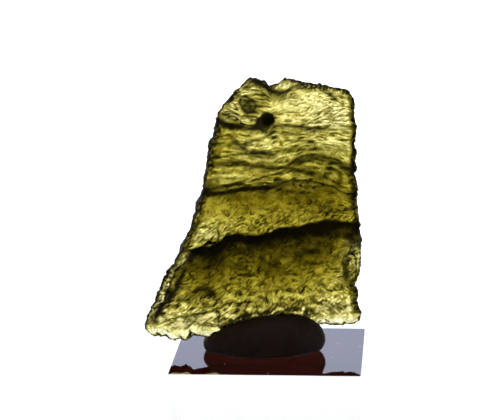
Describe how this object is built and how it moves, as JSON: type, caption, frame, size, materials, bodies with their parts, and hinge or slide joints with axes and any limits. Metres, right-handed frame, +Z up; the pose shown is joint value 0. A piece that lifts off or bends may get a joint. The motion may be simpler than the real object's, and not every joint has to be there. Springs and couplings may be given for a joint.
{
  "type": "moldavite specimen on a display cube",
  "caption": "Thin, sculptured plate of olive-green natural glass, standing on its lower edge in a lump of dark putty on a clear display cube.",
  "frame": {"origin": "centre of the display cube's underside, on which the specimen rests", "axes": "+Z up through the stone, +X right along the cube's front edge, +Y to the back"},
  "size_m": [0.029, 0.025, 0.062],
  "materials": {
    "moldavite_glass": "natural etched surface, glossy, see-through olive green",
    "dark_putty": "smooth pressed putty, dull sheen",
    "clear_acrylic": "clear, polished all round, dark red film under its foot"
  },
  "bodies": {
    "root": {"moldavite": "moldavite_glass", "putty_pad": "dark_putty", "acrylic_block": "clear_acrylic"}
  },
  "joints": []
}
